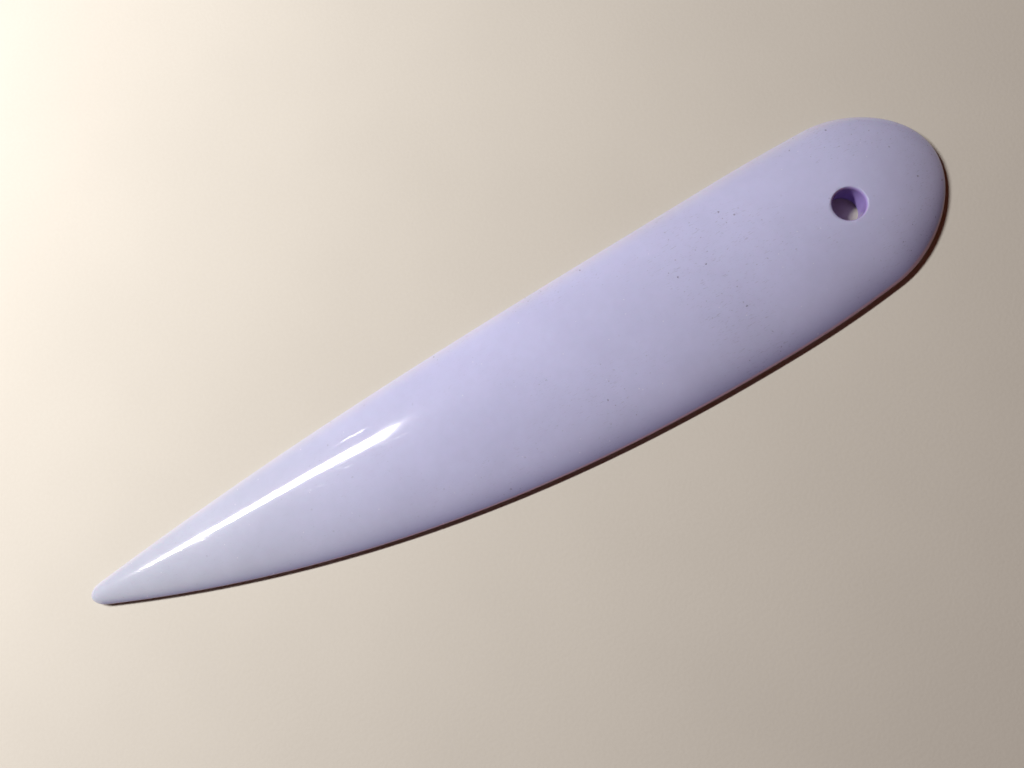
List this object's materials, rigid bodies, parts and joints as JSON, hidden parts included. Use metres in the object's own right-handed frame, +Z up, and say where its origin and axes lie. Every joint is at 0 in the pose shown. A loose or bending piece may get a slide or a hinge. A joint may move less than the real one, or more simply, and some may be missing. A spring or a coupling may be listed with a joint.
{
  "type": "sculpting spatula",
  "caption": "Moulded plastic modelling spatula: a pointed leaf-shaped blade with a straighter back, a curved belly and a round butt with a hanging hole.",
  "frame": {"origin": "on the surface the blade rests on, under the middle of its bounding box", "axes": "+X from the pointed tip towards the round butt, +Y from the curved belly towards the straighter back, +Z up out of the crowned face"},
  "size_m": [0.14, 0.0288, 0.0047],
  "materials": {
    "lavender_plastic": "glossy moulded plastic, pale lavender"
  },
  "bodies": {
    "root": {"spatula_body": "lavender_plastic"}
  },
  "joints": []
}
